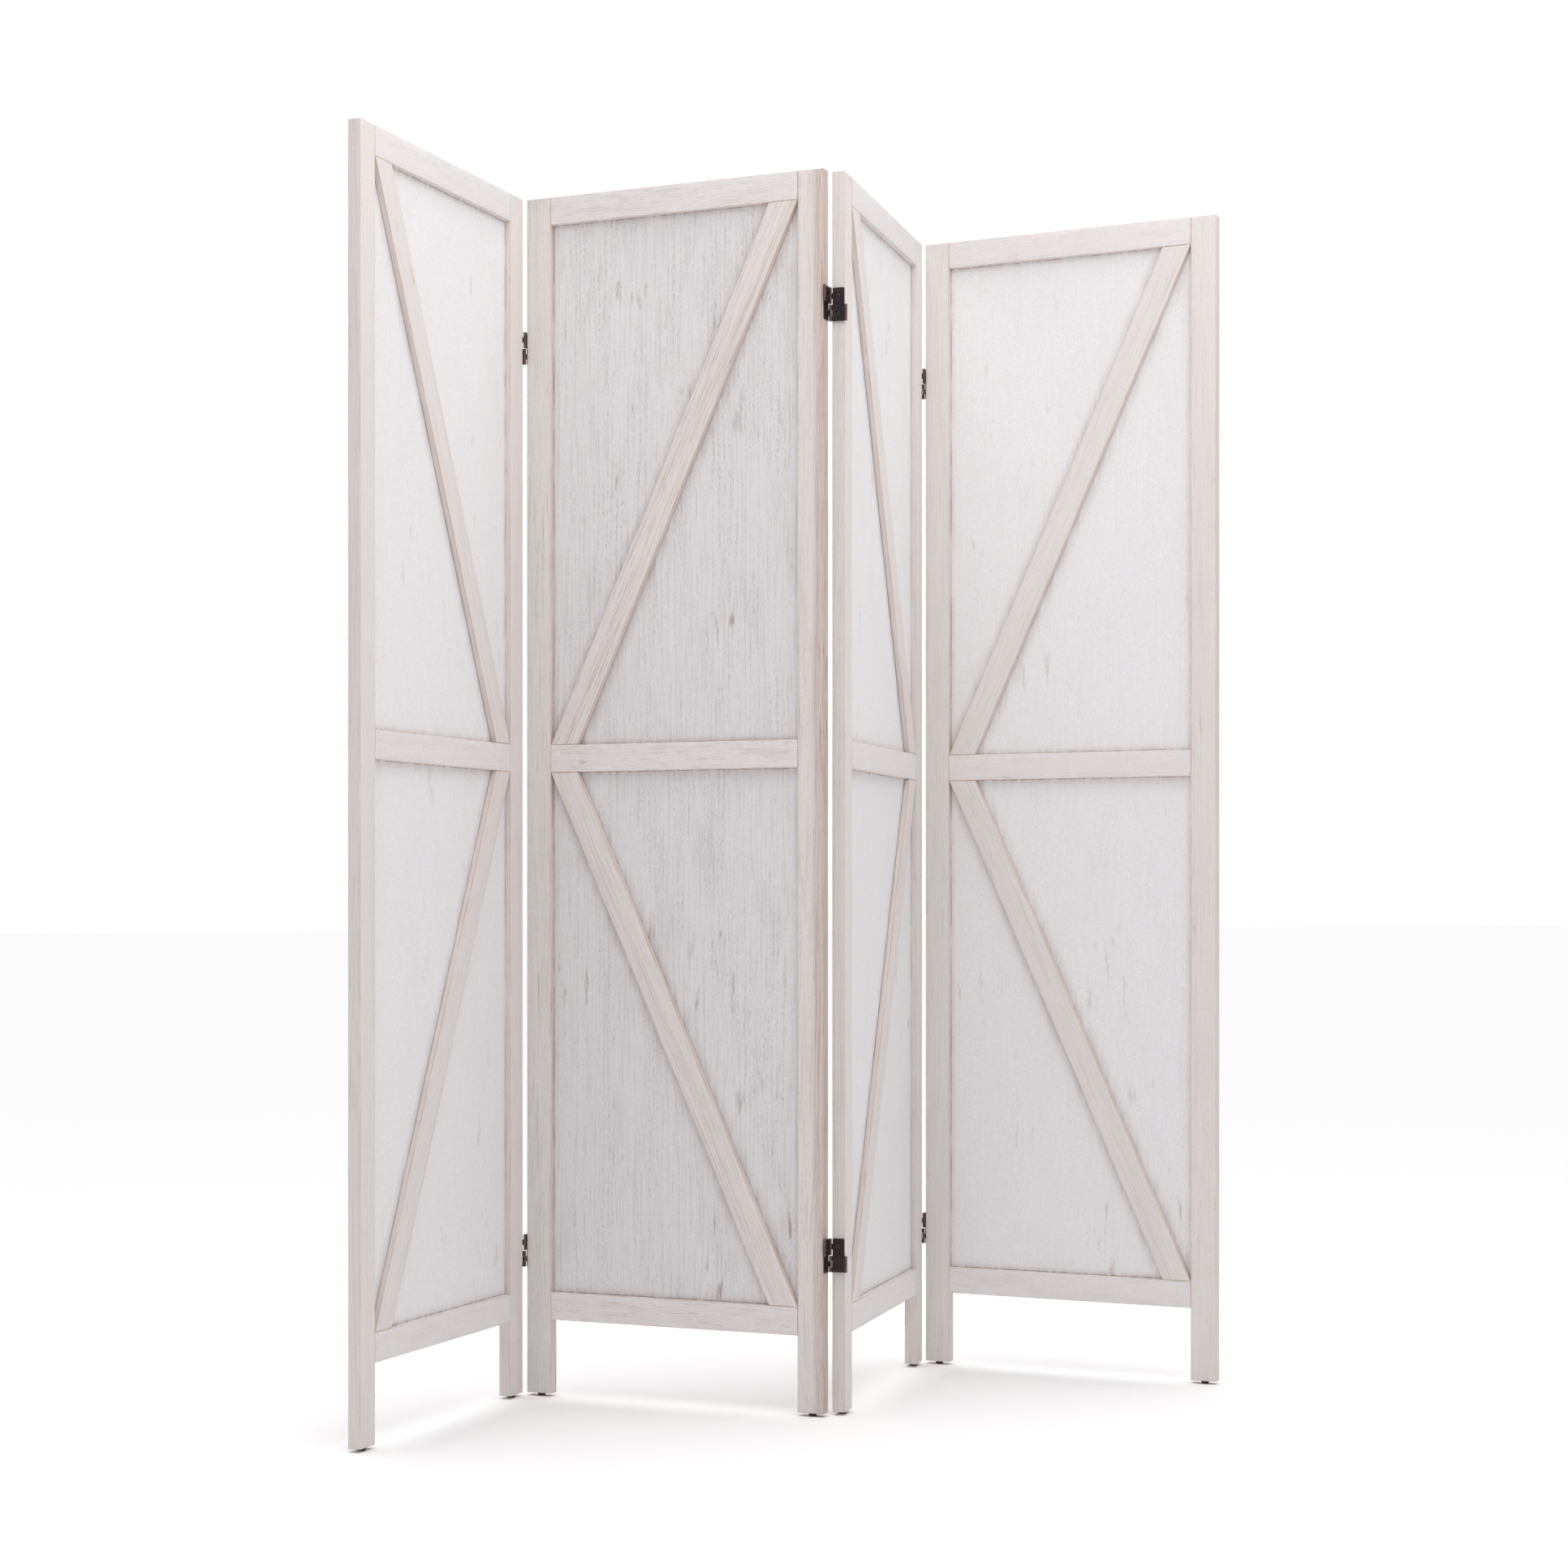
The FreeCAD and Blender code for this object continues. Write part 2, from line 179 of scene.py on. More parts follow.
# paulownia under a thin white wash, brushed on and rubbed back: a chalky white film, tan wood and darker
# growth lines where it is rubbed through, and a grey haze lying in the open pores
def whitewashedWood(name, look):
    material = bpy.data.materials.new(name)
    material.use_nodes = True
    tree = material.node_tree
    tree.nodes.clear()

    # the member's own coordinates in mm: x across, y through, z along the grain
    place = addNode(tree, "ShaderNodeAttribute", attribute_name="grainPlace").outputs["Vector"]
    half = addNode(tree, "ShaderNodeAttribute", attribute_name="halfSize").outputs["Vector"]
    shift = addNode(tree, "ShaderNodeAttribute", attribute_name="grainShift").outputs["Vector"]
    rub = addNode(tree, "ShaderNodeAttribute", attribute_name="rubbed").outputs["Fac"]
    brace = addNode(tree, "ShaderNodeAttribute", attribute_name="besideBrace").outputs["Fac"]
    wornSide = addNode(tree, "ShaderNodeAttribute", attribute_name="wornSide").outputs["Fac"]
    inMm = addNode(tree, "ShaderNodeVectorMath", {0: place, "Scale": 1 / mm}, operation="SCALE")
    own = addNode(tree, "ShaderNodeVectorMath", {0: inMm, 1: shift}, operation="ADD")

    # the grain wanders a little along the member
    across, along, depth = look["wander"]
    wide = addNode(tree, "ShaderNodeMapping", {0: own, "Scale": (1 / across, 1 / across, 1 / along)})
    wander = addNode(tree, "ShaderNodeTexNoise", {"Vector": wide, "Scale": 1.0, "Detail": 1.0})
    sway = addNode(tree, "ShaderNodeMath", {0: wander, 1: depth, 2: -depth / 2}, operation="MULTIPLY_ADD")
    bend = addNode(tree, "ShaderNodeCombineXYZ", {0: sway, 1: sway})
    bent = addNode(tree, "ShaderNodeVectorMath", {0: own, 1: bend}, operation="ADD")

    layers = {}
    for layer, (across, along, detail) in look["layers"].items():
        scaled = addNode(tree, "ShaderNodeMapping", {0: bent, "Scale": (1 / across, 1 / across, 1 / along)})
        layers[layer] = addNode(tree, "ShaderNodeTexNoise", {"Vector": scaled, "Scale": 1.0, "Detail": detail,
                                                             "Roughness": look["layerRoughness"]})

    # growth lines: a saw-tooth across the grain, so that each has one sharp side
    ring, slant = look["ringMm"], look["ringSlant"]
    rows = addNode(tree, "ShaderNodeVectorMath", {0: bent, 1: (1 / ring, slant / ring, 0.0)},
                   operation="DOT_PRODUCT").outputs["Value"]
    uneven = addNode(tree, "ShaderNodeMath", {0: layers["rows"], 1: look["rowsUneven"], 2: rows},
                     operation="MULTIPLY_ADD")
    tooth = addNode(tree, "ShaderNodeMath", {0: uneven}, operation="FRACT")
    line = addNode(tree, "ShaderNodeMath", {0: tooth, 1: look["lineSharpness"]}, operation="POWER")

    # masks cut out of the noises: from where to where each fades in
    masks = {}
    for layer, (low, high) in look["cuts"].items():
        masks[layer] = addNode(tree, "ShaderNodeMapRange",
                               {0: layers[layer], 1: low, 2: high, 3: 0.0, 4: 1.0},
                               interpolation_type="SMOOTHSTEP")
    lines = addNode(tree, "ShaderNodeMath", {0: line, 1: masks["lineBreaks"]}, operation="MULTIPLY")
    smudges = addNode(tree, "ShaderNodeMath", {0: masks["smudges"], 1: masks["smudgeGroups"]},
                      operation="MULTIPLY")

    # open pores in short dashes, thicker beside the growth lines; real ones are 0.2 mm wide, too fine to show
    low, high = look["poreRows"]
    poreRow = addNode(tree, "ShaderNodeMapRange", {0: tooth, 1: low, 2: high, 3: look["poreBetween"], 4: 1.0})
    poreGroup = addNode(tree, "ShaderNodeMapRange", {0: masks["poreGroups"], 3: look["poreApart"], 4: 1.0})
    pores = masks["pores"]
    for share in (poreRow, poreGroup, rub):
        pores = addNode(tree, "ShaderNodeMath", {0: pores, 1: share}, operation="MULTIPLY")

    # distance to the nearest arris: the middle one of the distances to the faces
    halfMm = addNode(tree, "ShaderNodeVectorMath", {0: half, "Scale": 1 / mm}, operation="SCALE")
    size = addNode(tree, "ShaderNodeVectorMath", {0: inMm}, operation="ABSOLUTE")
    inside = addNode(tree, "ShaderNodeVectorMath", {0: halfMm, 1: size}, operation="SUBTRACT")
    toFace = addNode(tree, "ShaderNodeSeparateXYZ", {0: inside}).outputs
    nearer = addNode(tree, "ShaderNodeMath", {0: toFace[0], 1: toFace[1]}, operation="MINIMUM")
    further = addNode(tree, "ShaderNodeMath", {0: toFace[0], 1: toFace[1]}, operation="MAXIMUM")
    toEnd = addNode(tree, "ShaderNodeMath", {0: further, 1: toFace[2]}, operation="MINIMUM")
    toArris = addNode(tree, "ShaderNodeMath", {0: nearer, 1: toEnd}, operation="MAXIMUM")
    wearShare = addNode(tree, "ShaderNodeMapRange", {0: masks["edgeWear"], 3: look["wearLeast"], 4: 1.0})
    # a dark line on the boards just inside the frame is a dark joint and a painted shadow line along the
    # frame
    edges = {}
    # the band on the boards beside the brace, tan and with the wash thinner, is partly painted shade where
    # the raised brace shades the board
    for label, distance, (low, high) in (("edge", toArris, look["edgeMm"]), ("gap", toArris, look["gapMm"]),
                                         ("besideBrace", brace, [c * mm for c in look["braceWearAndShadeMm"]])):
        near = addNode(tree, "ShaderNodeMapRange", {0: distance, 1: low, 2: high, 3: 1.0, 4: 0.0})
        edges[label] = addNode(tree, "ShaderNodeMath", {0: near, 1: wearShare}, operation="MULTIPLY")
    low, high = look["sideMm"]
    side = addNode(tree, "ShaderNodeMapRange", {0: toFace[0], 1: low, 2: high, 3: 1.0, 4: 0.0})
    low, high = look["endMm"]
    end = addNode(tree, "ShaderNodeMapRange", {0: toFace[2], 1: low, 2: high, 3: 1.0, 4: 0.0})

    # one long side of a member may be worn through to the wood
    acrossShare = addNode(tree, "ShaderNodeVectorMath", {0: place, 1: half}, operation="DIVIDE")
    acrossShare = addNode(tree, "ShaderNodeSeparateXYZ", {0: acrossShare})
    towards = addNode(tree, "ShaderNodeMath", {0: acrossShare, 1: wornSide}, operation="MULTIPLY")
    wavy = addNode(tree, "ShaderNodeMath", {0: layers["patches"], 1: look["wornWaviness"], 2: towards},
                   operation="MULTIPLY_ADD")
    low, high = look["wornFrom"]
    worn = addNode(tree, "ShaderNodeMapRange", {0: wavy, 1: low, 2: high, 3: 0.0, 4: 1.0},
                   interpolation_type="SMOOTHSTEP")

    # small knots, far apart
    cellMm, stretch = look["knotCellMm"], look["knotStretch"]
    cell = addNode(tree, "ShaderNodeMapping", {0: bent, "Scale": (1 / cellMm, 1 / cellMm, stretch / cellMm)})
    knots = addNode(tree, "ShaderNodeTexVoronoi", {"Vector": cell, "Scale": 1.0})
    chance = addNode(tree, "ShaderNodeSeparateColor", {0: knots.outputs["Color"]})
    hasKnot = addNode(tree, "ShaderNodeMath", {0: chance, 1: look["knotShare"]}, operation="LESS_THAN")
    knotShape = addNode(tree, "ShaderNodeMath",
                        {0: layers["chalk"], 1: look["knotRagged"], 2: knots.outputs["Distance"]},
                        operation="MULTIPLY_ADD")
    low, high = look["knotRadius"]
    knotRound = addNode(tree, "ShaderNodeMapRange", {0: knotShape, 1: low, 2: high, 3: 1.0, 4: 0.0})
    knot = addNode(tree, "ShaderNodeMath", {0: knotRound, 1: hasKnot}, operation="MULTIPLY")

    # how much of the wash is gone: first what the panel's rubbing scales, then what it doesn't; the brush
    # marks go both ways from their middle
    away = look["thin"]
    for mask, amount in ((masks["patches"], look["patchAmount"]), (lines, look["lineAmount"]),
                         (masks["fineGrain"], look["fineAmount"]), (smudges, look["smudgeAmount"])):
        away = addNode(tree, "ShaderNodeMath", {0: mask, 1: amount, 2: away}, operation="MULTIPLY_ADD")
    bare = addNode(tree, "ShaderNodeMath", {0: away, 1: rub, 2: -0.5 * look["brushAmount"]},
                   operation="MULTIPLY_ADD")
    # the band beside the brace also takes wash away, partly as painted shade
    for mask, amount in ((layers["brush"], look["brushAmount"]), (edges["edge"], look["edgeAmount"]),
                         (side, look["sideAmount"]), (end, look["endAmount"]),
                         (edges["besideBrace"], look["braceWearAndShadeAmount"]), (knot, look["knotAmount"]),
                         (worn, look["wornAmount"])):
        bare = addNode(tree, "ShaderNodeMath", {0: mask, 1: amount, 2: bare}, operation="MULTIPLY_ADD")
    bare.use_clamp = True

    # wood, then wash over it, then the pores, the edges, the tan band beside the brace (partly painted shade)
    # and the dark line in the gap along the frame (a dark joint and a painted shadow line)
    tints = {key: linear(look[key]) for key in look["tints"]}
    grain = addNode(tree, "ShaderNodeMath", {0: line, 1: masks["fineGrain"]}, operation="MAXIMUM")
    wood = addNode(tree, "ShaderNodeMix", {0: grain, 6: tints["woodLight"], 7: tints["woodDark"]},
                   data_type="RGBA").outputs[2]
    wash = addNode(tree, "ShaderNodeMix", {0: layers["brush"], 6: tints["washCool"], 7: tints["wash"]},
                   data_type="RGBA").outputs[2]
    colour = wash
    for tint, mask, amount in ((wood, bare, 1.0), (tints["edge"], edges["edge"], look["edgeTint"]),
                               (tints["edge"], smudges, look["smudgeAmount"]),
                               (tints["edge"], edges["besideBrace"], look["braceWearAndShadeTint"]),
                               (tints["knot"], knot, look["knotTint"]),
                               (tints["pore"], pores, look["poreAmount"]),
                               (tints["gap"], edges["gap"], look["gapAmount"])):
        share = addNode(tree, "ShaderNodeMath", {0: mask, 1: amount}, operation="MULTIPLY", use_clamp=True)
        colour = addNode(tree, "ShaderNodeMix", {0: share, 6: colour, 7: tint}, data_type="RGBA").outputs[2]
    (low, high), (dark, light) = look["chalkCut"], look["chalkTone"]
    chalk = addNode(tree, "ShaderNodeMapRange", {0: layers["chalk"], 1: low, 2: high, 3: dark, 4: light})
    colour = addNode(tree, "ShaderNodeVectorMath", {0: colour, "Scale": chalk}, operation="SCALE")

    relief = look["relief"]
    height = addNode(tree, "ShaderNodeMath", {0: layers["brush"], 1: relief["brush"]}, operation="MULTIPLY")
    for mask, amount in ((lines, relief["lines"]), (masks["fineGrain"], relief["fineGrain"]),
                         (pores, relief["pores"]), (layers["chalk"], relief["chalk"])):
        height = addNode(tree, "ShaderNodeMath", {0: mask, 1: amount, 2: height}, operation="MULTIPLY_ADD")
    bump = addNode(tree, "ShaderNodeBump", {"Height": height, "Distance": look["reliefMm"] * mm})
    washed, bareWood = look["roughness"]
    roughness = addNode(tree, "ShaderNodeMapRange", {0: bare, 1: 0.0, 2: 1.0, 3: washed, 4: bareWood})
    shader = addNode(tree, "ShaderNodeBsdfPrincipled",
                     {"Base Color": colour, "Roughness": roughness, "Normal": bump, "IOR": 1.5,
                      "Specular IOR Level": 0.35})
    addNode(tree, "ShaderNodeOutputMaterial", {0: shader})
    return material


# layers are noises: size across the grain and along it in mm, and detail; cuts turn them into masks, from
# where to where each fades in; amounts and tints say how strongly a mask takes the wash away or stains
stileLook = {
    "wash": "#EDE8E4", "washCool": "#E3DEDC", "woodLight": "#CFBDB3", "woodDark": "#AA9388",
    "edge": "#D9BAA2", "knot": "#93776A", "pore": "#B7ABA7", "gap": "#8A7468",
    "tints": ("wash", "washCool", "woodLight", "woodDark", "edge", "knot", "pore", "gap"),
    "wander": (45.0, 420.0, 14.0), "layerRoughness": 0.6,
    "ringMm": 4.6, "ringSlant": 0.6, "rowsUneven": 5.0, "lineSharpness": 6.0, "lineAmount": 0.36,
    "poreRows": (0.45, 0.9), "poreBetween": 0.5, "poreApart": 0.4, "poreAmount": 0.35,
    "wearLeast": 0.25, "edgeMm": (0.25, 1.3), "edgeAmount": 0.2, "edgeTint": 0.62,
    "gapMm": (0.0, 0.01), "gapAmount": 0.0,
    # the tan band beside the brace on the boards is partly painted shade
    "braceWearAndShadeMm": (0.5, 16.0), "braceWearAndShadeAmount": 0.22, "braceWearAndShadeTint": 0.16,
    "sideMm": (0.1, 0.6), "sideAmount": 0.2, "endMm": (0.1, 0.4), "endAmount": 0.3,
    "wornWaviness": 0.5, "wornFrom": (0.3, 0.75), "wornAmount": 0.55,
    "knotCellMm": 90.0, "knotStretch": 0.45, "knotShare": 0.15, "knotRagged": 0.03,
    "knotRadius": (0.035, 0.075), "knotAmount": 0.55, "knotTint": 0.6,
    "thin": 0.12, "patchAmount": 0.2, "fineAmount": 0.26, "smudgeAmount": 0.35, "brushAmount": 0.12,
    "chalkCut": (0.3, 0.7), "chalkTone": (0.95, 1.03), "roughness": (0.78, 0.58),
    "relief": {"brush": 0.4, "lines": -0.35, "fineGrain": -0.15, "pores": -0.6, "chalk": 0.45},
    "reliefMm": 0.35,
    "layers": {"rows": (27.0, 700.0, 2.0), "lineBreaks": (8.0, 150.0, 2.0), "pores": (1.1, 11.0, 1.0),
               "poreGroups": (38.0, 150.0, 2.0), "edgeWear": (9.0, 60.0, 3.0), "patches": (13.0, 300.0, 3.0),
               "fineGrain": (1.3, 90.0, 2.0), "smudges": (7.0, 50.0, 3.0), "smudgeGroups": (60.0, 200.0, 2.0),
               "brush": (3.0, 60.0, 3.0), "chalk": (1.5, 3.4, 3.0)},
    "cuts": {"lineBreaks": (0.42, 0.66), "pores": (0.58, 0.7), "poreGroups": (0.36, 0.6),
             "edgeWear": (0.36, 0.6), "patches": (0.5, 0.72), "fineGrain": (0.5, 0.7),
             "smudges": (0.58, 0.76), "smudgeGroups": (0.5, 0.66)},
}
railLook = dict(stileLook, wash="#F0EDEB", washCool="#E6E2E3", wander=(30.0, 120.0, 11.0), ringMm=3.8,
                lineAmount=0.22, fineAmount=0.22)
railLook["layers"] = dict(stileLook["layers"], lineBreaks=(6.0, 70.0, 2.0), pores=(1.0, 9.0, 1.0),
                          patches=(13.0, 120.0, 3.0), fineGrain=(1.4, 26.0, 3.0))
braceLook = dict(stileLook, edge="#CFAB90", ringMm=6.0, edgeMm=(0.25, 1.7), edgeTint=0.9, lineAmount=0.6,
                 fineAmount=0.34)
braceLook["layers"] = dict(stileLook["layers"], lineBreaks=(10.0, 260.0, 2.0))
# on the boards the edge band reaches 1 to 10 mm in from a board's edge, along the frame: a faint tan band
# with the wash thinner, partly painted shade in the corner beside the frame
boardLook = dict(stileLook, wash="#F8F7F5", washCool="#EDEDF1", woodLight="#BDB6B7", woodDark="#A0958F",
                 edge="#BFA391", pore="#A5A0A3", wander=(60.0, 500.0, 16.0), ringMm=8.0, rowsUneven=2.5,
                 lineSharpness=16.0, lineAmount=0.22, poreBetween=0.4, poreApart=0.25, poreAmount=0.24,
                 # on the boards the dark line 1.4 to 2.6 mm from a board's edge lies just inside the frame: a
                 # dark joint and a painted shadow line
                 edgeMm=(1.0, 10.0), edgeAmount=0.05, edgeTint=0.25, gapMm=(1.4, 2.6), gapAmount=0.75,
                 sideAmount=0.0, knotCellMm=130.0, knotShare=0.4, thin=0.15, patchAmount=0.05,
                 fineAmount=0.05, smudgeAmount=0.45, brushAmount=0.2, chalkTone=(0.915, 1.045), reliefMm=0.3)
boardLook["layers"] = dict(stileLook["layers"], rows=(60.0, 700.0, 2.0), lineBreaks=(9.0, 60.0, 4.0),
                           pores=(1.0, 5.5, 3.0), poreGroups=(34.0, 190.0, 5.0), patches=(60.0, 170.0, 4.0),
                           smudges=(14.0, 70.0, 4.0), smudgeGroups=(80.0, 190.0, 2.0),
                           brush=(11.0, 34.0, 6.0))
boardLook["cuts"] = dict(stileLook["cuts"], lineBreaks=(0.44, 0.68), pores=(0.52, 0.68),
                         poreGroups=(0.46, 0.58))
woods = {
    "stile": whitewashedWood("whitewashed_paulownia_stile", stileLook),
    "rail": whitewashedWood("whitewashed_paulownia_rail", railLook),
    "brace": whitewashedWood("whitewashed_paulownia_brace", braceLook),
    "board": whitewashedWood("whitewashed_paulownia_board", boardLook),
}


# shared by the small parts: where the two noises fade in, and how much of the worn tint shows on a worn edge
finishNoise = {"detail": 4.0, "blotch": (0.3, 0.7), "scratch": (0.36, 0.66), "wornShare": (0.1, 0.85)}


# a small hard part with a blotchy finish; what is marked wornEdge on its mesh shows what lies under it
def hardware(name, look):
    material = bpy.data.materials.new(name)
    material.use_nodes = True
    tree = material.node_tree
    tree.nodes.clear()
    place = addNode(tree, "ShaderNodeTexCoord").outputs["Object"]
    noises = {}
    for label in ("blotchMm", "scratchMm"):
        scaled = addNode(tree, "ShaderNodeMapping", {0: place, "Scale": [1 / (look[label] * mm)] * 3})
        noises[label] = addNode(tree, "ShaderNodeTexNoise",
                                {"Vector": scaled, "Scale": 1.0, "Detail": finishNoise["detail"]})
    edge = addNode(tree, "ShaderNodeAttribute", attribute_name="wornEdge").outputs["Fac"]
    (low, high), (least, most) = finishNoise["scratch"], finishNoise["wornShare"]
    patchy = addNode(tree, "ShaderNodeMapRange",
                     {0: noises["scratchMm"], 1: low, 2: high, 3: least, 4: most})
    worn = addNode(tree, "ShaderNodeMath", {0: edge, 1: patchy}, operation="MULTIPLY", use_clamp=True)
    base = addNode(tree, "ShaderNodeMix", {0: noises["blotchMm"], 6: linear(look["dark"]),
                                           7: linear(look["mid"])}, data_type="RGBA")
    colour = addNode(tree, "ShaderNodeMix", {0: worn, 6: base.outputs[2], 7: linear(look["worn"])},
                     data_type="RGBA")
    (low, high), (smooth, dull) = finishNoise["blotch"], look["roughness"]
    rough = addNode(tree, "ShaderNodeMapRange", {0: noises["blotchMm"], 1: low, 2: high, 3: smooth, 4: dull})
    bump = addNode(tree, "ShaderNodeBump", {"Height": noises["scratchMm"], "Distance": look["reliefMm"] * mm})
    shader = addNode(tree, "ShaderNodeBsdfPrincipled",
                     {"Base Color": colour.outputs[2], "Roughness": rough, "Normal": bump,
                      "Metallic": look["metallic"]})
    addNode(tree, "ShaderNodeOutputMaterial", {0: shader})
    return material


# stamped steel under dark bronze lacquer: near black, with pinkish copper wear on its edges and barrels
bronze = hardware("bronze_lacquered_steel", {
    "dark": "#191415", "mid": "#31282B", "worn": "#8A6F66", "blotchMm": 2.5, "scratchMm": 1.7,
    "roughness": (0.4, 0.58), "reliefMm": 0.04, "metallic": 0.3})
# the same lacquer on the screws, browner, rubbed off the rim and the edges of the cross by the driver
screwBronze = hardware("bronze_lacquered_screw", {
    "dark": "#2A1E1B", "mid": "#453029", "worn": "#8F6B5C", "blotchMm": 1.2, "scratchMm": 0.7,
    "roughness": (0.36, 0.5), "reliefMm": 0.03, "metallic": 0.5})
# moulded dark nylon, scuffed where it slides: dull, lighter in the scuffs
nylon = hardware("moulded_nylon", {
    "dark": "#1C1819", "mid": "#383233", "worn": "#6A6260", "blotchMm": 1.5, "scratchMm": 0.9,
    "roughness": (0.42, 0.62), "reliefMm": 0.06, "metallic": 0.0})
print("materials made")


# noises are given as scale per metre along x, y and z, and their own shift in W
bar = {"rimRows": 4, "arrisCut": 2.4, "patternShift": (371.0, 113.0, 917.0), "seedShift": 50.0,
       "noises": {"nick": ((60.0, 60.0, 75.0), 3.0), "hollow": ((25.0, 25.0, 8.0), 11.0),
                  "bowX": ((0.0, 0.0, 3.0), 21.0), "bowY": ((0.0, 0.0, 3.0), 37.0)},
       "noiseDetail": 2.0, "nicks": (0.52, 0.78), "middle": 0.5}


# a wooden bar or board: rounded, nicked arrises, faces planed a little uneven, a slight bow in its length
def memberTree():
    tree = newTree("woodMember", [
        ("Width", "Float", 0.04), ("Thickness", "Float", 0.02), ("Length", "Float", 1.0),
        ("Across Points", "Int", 9), ("Through Points", "Int", 7), ("Along Points", "Int", 100),
        ("Arris", "Float", 0.0008), ("End Arris", "Float", 0.0003), ("Nick Depth", "Float", 0.001),
        ("Bow", "Float", 0.0003), ("Hollow", "Float", 0.0001), ("Lean", "Float", 0.0),
        ("Brace Lean", "Float", 0.0), ("Brace Half Width", "Float", -9.0), ("Seed", "Float", 0.0),
        ("Rubbed", "Float", 1.0), ("Worn Side", "Float", 0.0), ("Material", "Material", None)])
    start = tree.nodes.new("NodeGroupInput").outputs

    cube = addNode(tree, "GeometryNodeMeshCube",
                   {0: (2.0, 2.0, 2.0), 1: start["Across Points"], 2: start["Through Points"],
                    3: start["Along Points"]})
    counts = addNode(tree, "ShaderNodeCombineXYZ",
                     {0: start["Across Points"], 1: start["Through Points"], 2: start["Along Points"]})
    size = addNode(tree, "ShaderNodeCombineXYZ",
                   {0: start["Width"], 1: start["Thickness"], 2: start["Length"]})
    arris = addNode(tree, "ShaderNodeCombineXYZ",
                    {0: start["Arris"], 1: start["Arris"], 2: start["End Arris"]})
    half = addNode(tree, "ShaderNodeVectorMath", {0: size, "Scale": 0.5}, operation="SCALE")
    core = addNode(tree, "ShaderNodeVectorMath", {0: half, 1: arris}, operation="SUBTRACT")

    # the outer two rows of points on each side go into the rounding, the others are spread over the flat
    gaps = addNode(tree, "ShaderNodeVectorMath", {0: counts, 1: (1.0, 1.0, 1.0)}, operation="SUBTRACT")
    rim = addNode(tree, "ShaderNodeVectorMath", {0: [float(bar["rimRows"])] * 3, 1: gaps}, operation="DIVIDE")
    flatShare = addNode(tree, "ShaderNodeVectorMath", {0: (1.0, 1.0, 1.0), 1: rim}, operation="SUBTRACT")
    unit = addNode(tree, "GeometryNodeInputPosition")
    signs = addNode(tree, "ShaderNodeVectorMath", {0: unit}, operation="SIGN")
    away = addNode(tree, "ShaderNodeVectorMath", {0: unit}, operation="ABSOLUTE")
    within = addNode(tree, "ShaderNodeVectorMath", {0: away, 1: flatShare}, operation="MINIMUM")
    withinShare = addNode(tree, "ShaderNodeVectorMath", {0: within, 1: flatShare}, operation="DIVIDE")
    flatPlace = addNode(tree, "ShaderNodeVectorMath", {0: withinShare, 1: core}, operation="MULTIPLY")
    flatPoint = addNode(tree, "ShaderNodeVectorMath", {0: flatPlace, 1: signs}, operation="MULTIPLY")
    beyond = addNode(tree, "ShaderNodeVectorMath", {0: away, 1: within}, operation="SUBTRACT")
    beyondShare = addNode(tree, "ShaderNodeVectorMath", {0: beyond, 1: rim}, operation="DIVIDE")
    turned = addNode(tree, "ShaderNodeVectorMath", {0: beyondShare, 1: signs}, operation="MULTIPLY")
    outward = addNode(tree, "ShaderNodeVectorMath", {0: turned}, operation="NORMALIZE")
    rounding = addNode(tree, "ShaderNodeVectorMath", {0: outward, 1: arris}, operation="MULTIPLY")
    rounded = addNode(tree, "ShaderNodeVectorMath", {0: flatPoint, 1: rounding}, operation="ADD")
    longSides = addNode(tree, "ShaderNodeVectorMath", {0: beyondShare, 1: (1.0, 1.0, 0.0)},
                        operation="MULTIPLY")
    reach = addNode(tree, "ShaderNodeVectorMath", {0: longSides}, operation="LENGTH").outputs["Value"]
    onArris = addNode(tree, "ShaderNodeMath", {0: reach, 1: bar["arrisCut"], 2: -bar["arrisCut"]},
                      operation="MULTIPLY_ADD", use_clamp=True)

    # kept on the mesh for the finish: own place, half size, shift of the pattern, rubbing, brace distance
    # (for the tan band beside the brace, which is partly painted shade)
    split = addNode(tree, "ShaderNodeSeparateXYZ", {0: rounded}).outputs
    braceLine = addNode(tree, "ShaderNodeMath", {0: split[2], 1: start["Brace Lean"]}, operation="MULTIPLY")
    fromLine = addNode(tree, "ShaderNodeMath", {0: split[0], 1: braceLine}, operation="SUBTRACT")
    fromLine = addNode(tree, "ShaderNodeMath", {0: fromLine}, operation="ABSOLUTE")
    toBrace = addNode(tree, "ShaderNodeMath", {0: fromLine, 1: start["Brace Half Width"]},
                      operation="SUBTRACT")
    onBack = addNode(tree, "ShaderNodeMath", {0: split[1], 1: 0.0}, operation="GREATER_THAN")
    toBrace = addNode(tree, "ShaderNodeMath", {0: toBrace, 1: onBack}, operation="ADD")
    shift = addNode(tree, "ShaderNodeVectorMath", {0: bar["patternShift"], "Scale": start["Seed"]},
                    operation="SCALE")
    geometry = cube
    for label, kind, value in (("grainPlace", "FLOAT_VECTOR", rounded), ("halfSize", "FLOAT_VECTOR", half),
                               ("grainShift", "FLOAT_VECTOR", shift), ("outward", "FLOAT_VECTOR", outward),
                               ("onArris", "FLOAT", onArris), ("rubbed", "FLOAT", start["Rubbed"]),
                               ("wornSide", "FLOAT", start["Worn Side"]), ("besideBrace", "FLOAT", toBrace)):
        geometry = addNode(tree, "GeometryNodeStoreNamedAttribute",
                           {"Geometry": geometry, "Name": label, "Value": value}, data_type=kind,
                           domain="POINT")
    own = addNode(tree, "GeometryNodeInputNamedAttribute", {0: "grainPlace"}, data_type="FLOAT_VECTOR")
    facing = addNode(tree, "GeometryNodeInputNamedAttribute", {0: "outward"}, data_type="FLOAT_VECTOR")
    arrisMask = addNode(tree, "GeometryNodeInputNamedAttribute", {0: "onArris"}, data_type="FLOAT")

